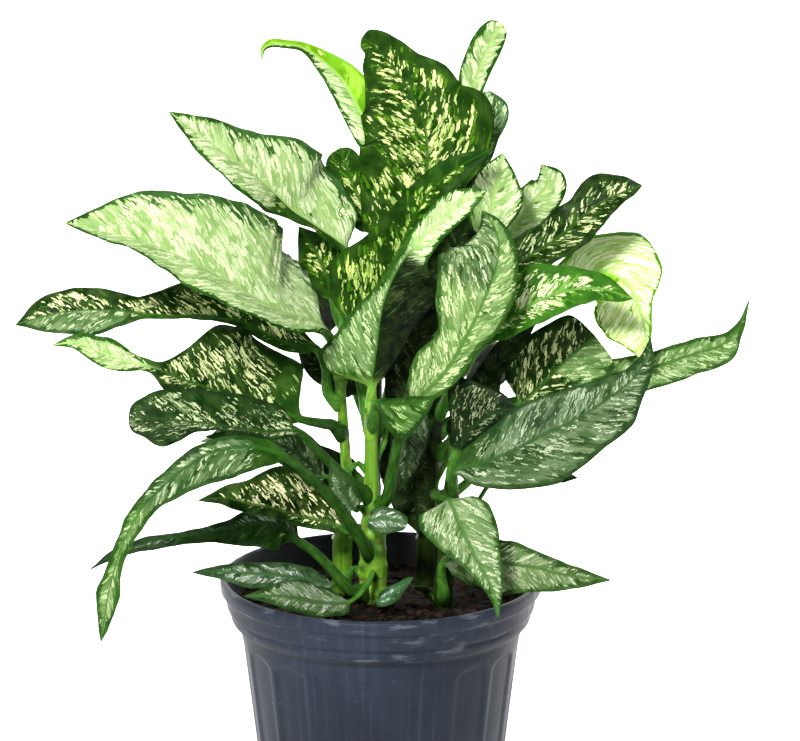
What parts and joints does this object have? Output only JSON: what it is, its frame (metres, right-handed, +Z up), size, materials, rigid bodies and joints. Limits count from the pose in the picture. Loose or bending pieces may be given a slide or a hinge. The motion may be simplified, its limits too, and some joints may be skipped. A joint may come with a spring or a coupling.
{
  "type": "potted dieffenbachia",
  "caption": "Bushy house plant with broad cream-flecked leaves on green canes, in a round dark nursery pot with a banded collar and shallow arched panels.",
  "frame": {"origin": "centre of the pot's foot, on the surface that the pot stands on", "axes": "+Z up along the pot's axis, -Y towards the plant's front, +X to the right seen from the front"},
  "size_m": [0.5998, 0.3553, 0.6944],
  "materials": {
    "pot_plastic": "satin moulded",
    "soil_mix": "loose bark and peat",
    "cane_green": "smooth ringed stem",
    "leaf_pale": "satin leaf, mostly cream",
    "leaf_lime": "satin young leaf",
    "leaf_dark": "satin leaf, dark with cream flecks",
    "leaf_green": "satin leaf, mid green with cream flecks"
  },
  "bodies": {
    "root": {"pot": "pot_plastic", "soil": "soil_mix", "cane_main": "cane_green", "cane_left": "cane_green", "cane_back": "cane_green", "cane_right": "cane_green", "cane_front": "cane_green", "leaf_01": "leaf_lime", "leaf_02": "leaf_dark", "leaf_03": "leaf_pale", "leaf_04": "leaf_pale", "leaf_05": "leaf_pale", "leaf_06": "leaf_dark", "leaf_07": "leaf_dark", "leaf_08": "leaf_dark", "leaf_09": "leaf_green", "leaf_10": "leaf_dark", "leaf_11": "leaf_green", "leaf_12": "leaf_green", "leaf_13": "leaf_pale", "leaf_14": "leaf_dark", "leaf_15": "leaf_green", "leaf_16": "leaf_green", "leaf_17": "leaf_pale", "leaf_18": "leaf_pale", "leaf_19": "leaf_dark", "leaf_20": "leaf_lime", "leaf_21": "leaf_lime", "leaf_22": "leaf_lime", "leaf_23": "leaf_green", "leaf_24": "leaf_dark", "leaf_25": "leaf_green", "leaf_26": "leaf_dark", "leaf_27": "leaf_lime", "leaf_28": "leaf_green", "leaf_29": "leaf_green", "leaf_30": "leaf_lime", "leaf_31": "leaf_green", "leaf_32": "leaf_green", "leaf_33": "leaf_dark", "leaf_34": "leaf_dark", "leaf_35": "leaf_green", "leaf_36": "leaf_green", "leaf_37": "leaf_green", "leaf_38": "leaf_green", "leaf_39": "leaf_green", "leaf_40": "leaf_green", "leaf_41": "leaf_dark", "leaf_42": "leaf_dark", "leaf_43": "leaf_pale", "leaf_44": "leaf_dark", "leaf_45": "leaf_green", "leaf_46": "leaf_dark", "leaf_47": "leaf_dark", "leaf_48": "leaf_dark", "leaf_49": "leaf_dark"}
  },
  "joints": []
}
